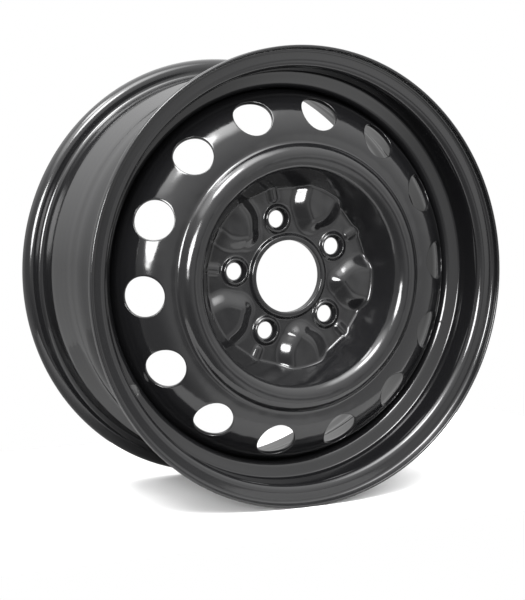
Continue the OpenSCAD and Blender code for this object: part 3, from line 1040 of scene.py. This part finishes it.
# Semi-gloss black baked paint, dipped over rolled and stamped steel. It gives the eye a deep
# black that mirrors the room clearly, with reflections that waver over the sheet's waves and
# are broken up by orange peel.
def black_paint(look, name, extra_roughness=0.0, rolled=False):
    """Black paint for one piece; a rolled one shows rolling rings and a ground butt weld."""
    material = bpy.data.materials.new(name)
    material.use_nodes = True
    tree = material.node_tree
    tree.nodes.clear()
    place = add_node(tree, "ShaderNodeTexCoord").outputs["Object"]
    axes = add_node(tree, "ShaderNodeSeparateXYZ", {0: place})
    face = add_node(tree, "ShaderNodeCombineXYZ", {"X": axes.outputs["X"], "Z": axes.outputs["Z"]})
    length = add_node(tree, "ShaderNodeVectorMath", {0: face.outputs[0]}, operation="LENGTH")
    radius = length.outputs["Value"]
    section = add_node(tree, "ShaderNodeCombineXYZ", {"X": radius, "Y": axes.outputs["Y"]}).outputs[0]
    # The gloss drifts in clouds as wide as a hand
    cloud = add_node(tree, "ShaderNodeTexNoise", {
        "Vector": place, "Scale": 1 / (60 * MM), "Detail": 3.0, "Roughness": 0.55})
    roughness = look.roughness + extra_roughness
    gloss = add_node(tree, "ShaderNodeMapRange", {
        "Value": cloud.outputs["Fac"], "From Min": 0.3, "From Max": 0.7,
        "To Min": roughness - 0.02, "To Max": roughness + 0.03})
    # Relief: where each pattern lies, its width, detail, strength and depth.
    # The paint's grain and the rolls' marks are too fine to show, so both are drawn coarser.
    peel = (place, look.peel, 2.0, 0.16, 0.03 * MM)
    grain = (place, 0.8 * MM, 1.0, 0.1, 0.03 * MM)
    rolling_rings = (section, 4 * MM, 1.0, 0.2, 0.3 * MM)
    sheet_waves = (place, 22 * MM, 1.0, 0.5, 1.0 * MM)
    relief = None
    for vector, width, detail, strength, depth in [peel, grain, rolling_rings if rolled else sheet_waves]:
        noise = add_node(tree, "ShaderNodeTexNoise", {
            "Vector": vector, "Scale": 1 / width, "Detail": detail, "Roughness": 0.5})
        below = {} if relief is None else {"Normal": relief}
        relief = add_node(tree, "ShaderNodeBump", {
            "Height": noise.outputs["Fac"], "Strength": strength, "Distance": depth, **below}).outputs[0]
    if rolled:
        # The butt weld, ground flush, leaves a trace across the barrel but not on the outboard flange
        turn = add_node(tree, "ShaderNodeMath", {
            0: axes.outputs["X"], 1: axes.outputs["Z"]}, operation="ARCTAN2")
        off = add_node(tree, "ShaderNodeMath", {0: turn.outputs[0], 1: look.seam_turn}, operation="SUBTRACT")
        arc = add_node(tree, "ShaderNodeMath", {0: off.outputs[0], 1: radius}, operation="MULTIPLY")
        away = add_node(tree, "ShaderNodeMath", {0: arc.outputs[0]}, operation="ABSOLUTE")
        bead = add_node(tree, "ShaderNodeMapRange", {
            "Value": away.outputs[0], "From Min": 0.0, "From Max": 1.2 * MM, "To Min": 1.0, "To Max": 0.0})
        ground = add_node(tree, "ShaderNodeMapRange", {
            "Value": axes.outputs["Y"], "From Min": -57 * MM, "From Max": -55 * MM})
        left = add_node(tree, "ShaderNodeMath", {
            0: bead.outputs[0], 1: ground.outputs[0]}, operation="MULTIPLY")
        relief = add_node(tree, "ShaderNodeBump", {
            "Height": left.outputs[0], "Strength": 0.6, "Distance": 0.5 * MM, "Normal": relief}).outputs[0]
    # 1.5 is the refractive index of most paint binders
    shade = add_node(tree, "ShaderNodeBsdfPrincipled", {
        "Base Color": linear(look.colour), "Roughness": gloss.outputs[0], "IOR": 1.5, "Normal": relief})
    add_node(tree, "ShaderNodeOutputMaterial", {"Surface": shade.outputs[0]})
    return material


# Matt pale studio paint, rolled on. It gives the eye a flat, nearly white ground with a soft
# shadow. In the wheel's reflections its colour is painted darker than the camera sees it, most
# towards the back: painted shade that stands for the unlit studio there.
def pale_floor(look):
    """Material of the floor."""
    material = bpy.data.materials.new("matt_pale_floor")
    material.use_nodes = True
    tree = material.node_tree
    tree.nodes.clear()
    place = add_node(tree, "ShaderNodeTexCoord").outputs["Object"]
    mottle = add_node(tree, "ShaderNodeTexNoise", {
        "Vector": place, "Scale": 1 / (250 * MM), "Detail": 2.0})
    rough = add_node(tree, "ShaderNodeMapRange", {
        "Value": mottle.outputs["Fac"], "To Min": 0.7, "To Max": 0.85})
    # Painted shade: in reflections the floor's colour darkens from the wheel's front to its back
    depth = add_node(tree, "ShaderNodeSeparateXYZ", {0: place}).outputs["Y"]
    back = add_node(tree, "ShaderNodeMapRange", {
        "Value": depth, "From Min": -150 * MM, "From Max": 100 * MM})
    painted_shade_in_reflections = add_node(tree, "ShaderNodeMix", {
        "Factor": back.outputs[0], 6: linear(look.floor_colour), 7: linear(look.painted_floor_shade),
    }, data_type="RGBA")
    # The camera sees the floor whiter; reflections see the darker colours above, which are painted shade
    seen = add_node(tree, "ShaderNodeLightPath").outputs["Is Camera Ray"]
    colour = add_node(tree, "ShaderNodeMix", {
        "Factor": seen, 6: painted_shade_in_reflections.outputs[2], 7: linear(look.floor_white)}, data_type="RGBA")
    shade = add_node(tree, "ShaderNodeBsdfPrincipled", {
        "Base Color": colour.outputs[2], "Roughness": rough.outputs[0]})
    add_node(tree, "ShaderNodeOutputMaterial", {"Surface": shade.outputs[0]})
    return material


def white_room(look):
    """White studio room, brighter above, with the lit and shaded patches that the paint mirrors."""
    world = bpy.data.worlds.new("white_room")
    world.use_nodes = True
    tree = world.node_tree
    tree.nodes.clear()
    way = add_node(tree, "ShaderNodeTexCoord").outputs["Generated"]
    height = add_node(tree, "ShaderNodeSeparateXYZ", {0: way}).outputs["Z"]
    room = add_node(tree, "ShaderNodeMapRange", {
        "Value": height, "To Min": look.room_light, "To Max": look.ceiling_light}).outputs[0]
    # Each patch: the way to its middle, the angles from there to its edge and to its core in
    # degrees, and its value in the core. A lit patch is added, and a shaded one is a factor.
    lit = [
        # Ceiling round the top softbox
        ((-0.344, -0.44, 0.829), 30, 12, look.ceiling_glow),
        # Ceiling in front of the wheel
        ((-0.02, -0.46, 0.888), 21.6, 8.1, 1.2 * look.ceiling_glow),
        # Floor to the right of the camera
        ((0.352, -0.791, -0.5), 17.1, 9.9, 0.7),
        # Wall to the right of the camera
        ((0.544, -0.837, 0.061), 9.9, 4, 0.6),
    ]
    shaded = [
        # Foot of that wall
        ((0.356, -0.926, -0.122), 9, 3, 0.42),
        # Floor under the camera
        ((-0.459, -0.734, -0.5), 40, 17.1, 0.35),
        # Left wall
        ((-0.957, -0.256, 0.139), 38, 15, 0.62),
        # Back wall
        ((0.0, 0.999, 0.04), 40, 24, 0.55),
        # Right-hand back corner
        ((0.906, 0.423, 0.0), 45, 25, 0.35),
    ]
    for operation, outside, patches in [("ADD", 0.0, lit), ("MULTIPLY", 1.0, shaded)]:
        for middle, edge, core, value in patches:
            near = add_node(tree, "ShaderNodeVectorMath", {0: way, 1: middle}, operation="DOT_PRODUCT")
            patch = add_node(tree, "ShaderNodeMapRange", {
                "Value": near.outputs["Value"], "From Min": math.cos(math.radians(edge)),
                "From Max": math.cos(math.radians(core)), "To Min": outside, "To Max": value})
            room = add_node(tree, "ShaderNodeMath", {
                0: room, 1: patch.outputs[0]}, operation=operation).outputs[0]
    # Behind the wheel the camera sees plain white
    seen = add_node(tree, "ShaderNodeLightPath").outputs["Is Camera Ray"]
    level = add_node(tree, "ShaderNodeMix", {"Factor": seen, "A": room, "B": 1.0})
    sky = add_node(tree, "ShaderNodeBackground", {
        "Color": (1.0, 1.0, 1.0, 1.0), "Strength": level.outputs[0]})
    add_node(tree, "ShaderNodeOutputWorld", {"Surface": sky.outputs[0]})
    return world


def from_wheel(azimuth, rise):
    """Direction from the wheel's centre, by its azimuth from straight outboard and its rise."""
    return Vector((math.sin(azimuth) * math.cos(rise), -math.cos(azimuth) * math.cos(rise), math.sin(rise)))


def facing(way):
    """Rotation of a lamp or camera that looks back along a way from the wheel."""
    return (-way).to_track_quat("-Z", "Y").to_euler()


class WHEEL_OT_rim(bpy.types.Operator):
    """Builds the rolled rim with its valve hole"""

    bl_idname = "wheel.rim"
    bl_label = "Build Rim"

    def execute(self, context):
        settings = context.scene.wheel_settings
        s, tree = settings.rim, repeat_tree()
        material = black_paint(settings.paint, "semi_gloss_black_paint_rim", rolled=True)
        plain, pierced = rim_segments(s)
        step = 2 * math.pi / RIM_SEGMENTS
        shared = {"Turn Step": step, "Seam": SEAM, "Material": material}
        rings = [
            node_result(plain, tree, {
                "Count": RIM_SEGMENTS - 1, "First Turn": s.valve_turn + step, **shared}),
            node_result(pierced, tree, {"Count": 1, "First Turn": s.valve_turn, **shared}),
        ]
        finished_piece("rim", rings, material)
        return {"FINISHED"}


class WHEEL_OT_disc(bpy.types.Operator):
    """Builds the stamped disc with its hand holes, hat, dish and lug seats"""

    bl_idname = "wheel.disc"
    bl_label = "Build Disc"

    def execute(self, context):
        settings = context.scene.wheel_settings
        s, tree = settings.disc, repeat_tree()
        material = black_paint(settings.paint, "semi_gloss_black_paint_disc")
        shared = {"Seam": SEAM, "Material": material}
        rings = [
            node_result(lug_segment(s), tree, {
                "Count": s.lugs, "First Turn": s.lug_turn, "Turn Step": 2 * math.pi / s.lugs, **shared}),
            node_result(hand_hole_segment(s), tree, {
                "Count": s.hand_holes, "First Turn": s.hand_hole_turn,
                "Turn Step": 2 * math.pi / s.hand_holes, **shared}),
        ]
        finished_piece("disc", rings, material)
        return {"FINISHED"}


class WHEEL_OT_welds(bpy.types.Operator):
    """Builds the weld beads between the disc's skirt and the rim's well"""

    bl_idname = "wheel.welds"
    bl_label = "Build Welds"

    def execute(self, context):
        settings = context.scene.wheel_settings
        s = settings.welds
        material = black_paint(settings.paint, "black_paint_over_weld", extra_roughness=0.1)
        beads = node_result(weld_bead(s), repeat_tree(), {
            "Count": s.beads, "First Turn": math.pi / 2, "Turn Step": 2 * math.pi / s.beads,
            "Seam": SEAM, "Material": material})
        finished_piece("disc_welds", [beads], material)
        return {"FINISHED"}


class WHEEL_OT_stage(bpy.types.Operator):
    """Sets up the floor, the soft studio light and the camera"""

    bl_idname = "wheel.stage"
    bl_label = "Set Up Stage"

    def execute(self, context):
        scene, look = context.scene, context.scene.wheel_settings.stage
        # Edges of the floor in metres, just past the wheel and its shadow
        left, right, front, rear = -0.5, 0.5, -0.2, 0.3
        mesh = bpy.data.meshes.new("floor_mesh")
        mesh.from_pydata([(left, front, FLOOR_PLACE), (right, front, FLOOR_PLACE),
                          (right, rear, FLOOR_PLACE), (left, rear, FLOOR_PLACE)], [], [(0, 1, 2, 3)])
        mesh.materials.append(pale_floor(look))
        floor = bpy.data.objects.new("floor", mesh)
        scene.collection.objects.link(floor)

        scene.world = white_room(look)
        scene.view_settings.view_transform = "Standard"

        for name, way, width, height, power in [
            ("front_softbox", (-0.549, -0.814, 0.191), 1.7, 1.35, look.front_light),
            ("top_softbox", (-0.283, -0.606, 0.743), 1.5, 1.6, look.top_light),
            ("left_softbox", (-0.42, -0.1, 0.9), 1.5, 0.9, look.left_light),
        ]:
            lamp = bpy.data.lights.new(name, "AREA")
            lamp.shape, lamp.size, lamp.size_y, lamp.energy = "ELLIPSE", width, height, power
            holder = bpy.data.objects.new(name, lamp)
            holder.location = Vector(way).normalized() * SOFTBOX_DISTANCE
            holder.rotation_euler = facing(Vector(way))
            scene.collection.objects.link(holder)

        camera = bpy.data.objects.new("camera", bpy.data.cameras.new("camera"))
        camera.data.lens, camera.data.sensor_width = CAMERA_LENS, SENSOR
        camera.data.clip_start, camera.data.clip_end = 0.05, 50.0
        camera.location = from_wheel(CAMERA_AZIMUTH, CAMERA_RISE) * CAMERA_DISTANCE
        camera.rotation_euler = facing(from_wheel(CAMERA_AZIMUTH, CAMERA_TILT))
        scene.collection.objects.link(camera)
        scene.camera = camera
        return {"FINISHED"}


class WHEEL_PT_panel(bpy.types.Panel):
    """Lists the wheel's sizes and the steps that build it"""

    bl_idname = "WHEEL_PT_panel"
    bl_label = "Steel Wheel Rim"
    bl_space_type = "VIEW_3D"
    bl_region_type = "UI"
    bl_category = "Wheel"

    def draw(self, context):
        settings = context.scene.wheel_settings
        for group, step in [(settings.rim, WHEEL_OT_rim), (settings.disc, WHEEL_OT_disc),
                            (settings.welds, WHEEL_OT_welds), (settings.stage, WHEEL_OT_stage)]:
            box = self.layout.box()
            box.operator(step.bl_idname)
            for name in group.__annotations__:
                box.prop(group, name)
        box = self.layout.box()
        for name in settings.paint.__annotations__:
            box.prop(settings.paint, name)


CLASSES = (
    RimSizes, DiscSizes, WeldSizes, PaintLook, StageLook, WheelSettings,
    WHEEL_OT_rim, WHEEL_OT_disc, WHEEL_OT_welds, WHEEL_OT_stage, WHEEL_PT_panel,
)


def register():
    for cls in CLASSES:
        bpy.utils.register_class(cls)
    bpy.types.Scene.wheel_settings = bpy.props.PointerProperty(type=WheelSettings)


def unregister():
    del bpy.types.Scene.wheel_settings
    for cls in reversed(CLASSES):
        bpy.utils.unregister_class(cls)


def main():
    register()
    bpy.ops.wheel.rim()
    bpy.ops.wheel.disc()
    bpy.ops.wheel.welds()
    bpy.ops.wheel.stage()


if __name__ == "__main__":
    main()
